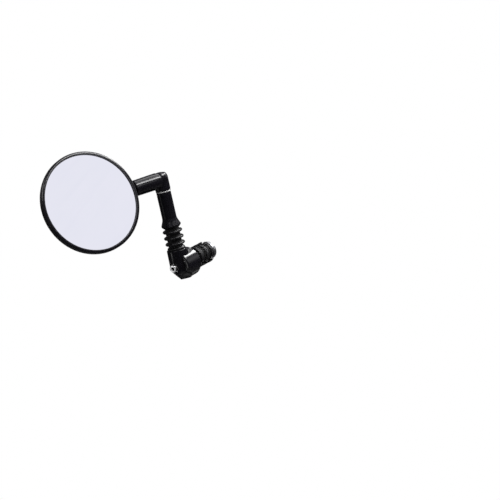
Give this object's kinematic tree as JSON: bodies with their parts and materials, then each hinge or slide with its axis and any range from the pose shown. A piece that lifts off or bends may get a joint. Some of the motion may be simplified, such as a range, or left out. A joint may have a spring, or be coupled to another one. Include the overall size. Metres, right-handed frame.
{
  "type": "bicycle mirror",
  "caption": "Round convex bar-end mirror on a swivelling two-part arm with a ribbed rubber joint and an expanding bar plug.",
  "frame": {"origin": "centre of the bar-end cap's inner face, where it seats on the end of the handlebar tube", "axes": "+X along the handlebar, into it; +Z along the lower arm, upwards; the glass faces the -Y side"},
  "size_m": [0.1543, 0.0588, 0.1292],
  "materials": {
    "satin_plastic": "moulded black plastic, satin to semi-gloss",
    "inner_plastic": "matt black moulded plastic",
    "nylon": "natural nylon",
    "rubber": "moulded black rubber",
    "foam": "dense black foam tape",
    "mirror_glass": "silvered convex glass with a faint cool tint",
    "steel": "zinc-plated bright steel",
    "brass": "turned brass",
    "zinc": "cast light alloy, matt"
  },
  "bodies": {
    "bar_plug": {"front_cone": "inner_plastic", "garter_front": "rubber", "garter_rear": "rubber"},
    "cone_nut": {"cone_nut": "zinc"},
    "jaw_1": {"jaw_1": "inner_plastic"},
    "jaw_2": {"jaw_2": "inner_plastic"},
    "jaw_3": {"jaw_3": "inner_plastic"},
    "clamp_bolt": {"clamp_bolt": "steel"},
    "base": {"bar_end_cap": "satin_plastic", "knuckle_housing": "satin_plastic", "ball_cup": "nylon", "preload_spring": "steel", "retaining_nut": "steel", "bolt_washer": "steel", "bellows": "rubber"},
    "arm": {"ball_stud": "steel", "lower_arm": "satin_plastic", "swivel_insert": "brass", "swivel_washer": "nylon"},
    "elbow": {"elbow": "satin_plastic", "elbow_plug": "satin_plastic", "swivel_screw": "steel", "cone_spring": "steel", "thrust_washer": "steel", "pivot_spindle": "steel", "spindle_grub": "steel", "retaining_clip": "steel"},
    "head": {"mirror_glass": "mirror_glass", "glass_pad": "foam", "mirror_rim": "satin_plastic", "mirror_shell": "satin_plastic", "friction_sleeve": "nylon", "pivot_saddle": "nylon", "saddle_screw_1": "steel", "saddle_screw_2": "steel"}
  },
  "joints": [
    {"name": "base_swivel", "type": "hinge", "parent": "bar_plug", "child": "base", "pos_m": [0, 0, 0], "axis": [1, 0, 0], "continuous": true},
    {"name": "bolt_turn", "type": "hinge", "parent": "bar_plug", "child": "clamp_bolt", "pos_m": [0, 0, 0], "axis": [1, 0, 0], "range_deg": [-1102, 1102]},
    {"name": "nut_draw", "type": "slide", "parent": "bar_plug", "child": "cone_nut", "axis": [-1, 0, 0], "range_m": [-0.0021, 0.0021]},
    {"name": "arm_tilt", "type": "hinge", "parent": "base", "child": "arm", "pos_m": [-0.0137, 0, 0.0095], "axis": [0, 1, 0], "range_deg": [-15, 15], "deforming": ["bellows"]},
    {"name": "elbow_swivel", "type": "hinge", "parent": "arm", "child": "elbow", "pos_m": [-0.0137, 0, 0.0646], "axis": [0, 0, 1], "continuous": true},
    {"name": "head_tilt", "type": "hinge", "parent": "elbow", "child": "head", "pos_m": [-0.07911, 0.02603, 0.0743], "axis": [-0.9291, 0.3697, 0], "range_deg": [-90, 90]},
    {"name": "jaw_1_spread", "type": "slide", "parent": "bar_plug", "child": "jaw_1", "axis": [-0.9063, 0, -0.4226], "range_m": [-0.00118, 0.00118]},
    {"name": "jaw_2_spread", "type": "slide", "parent": "bar_plug", "child": "jaw_2", "axis": [-0.9063, 0.366, 0.2113], "range_m": [-0.00118, 0.00118]},
    {"name": "jaw_3_spread", "type": "slide", "parent": "bar_plug", "child": "jaw_3", "axis": [-0.9063, -0.366, 0.2113], "range_m": [-0.00118, 0.00118]}
  ],
  "couplings": [
    {"joint": "bolt_turn", "follows": "nut_draw", "rad_per_m": 8976},
    {"joint": "jaw_1_spread", "follows": "nut_draw", "ratio": 0.55169},
    {"joint": "jaw_2_spread", "follows": "nut_draw", "ratio": 0.55169},
    {"joint": "jaw_3_spread", "follows": "nut_draw", "ratio": 0.55169}
  ]
}
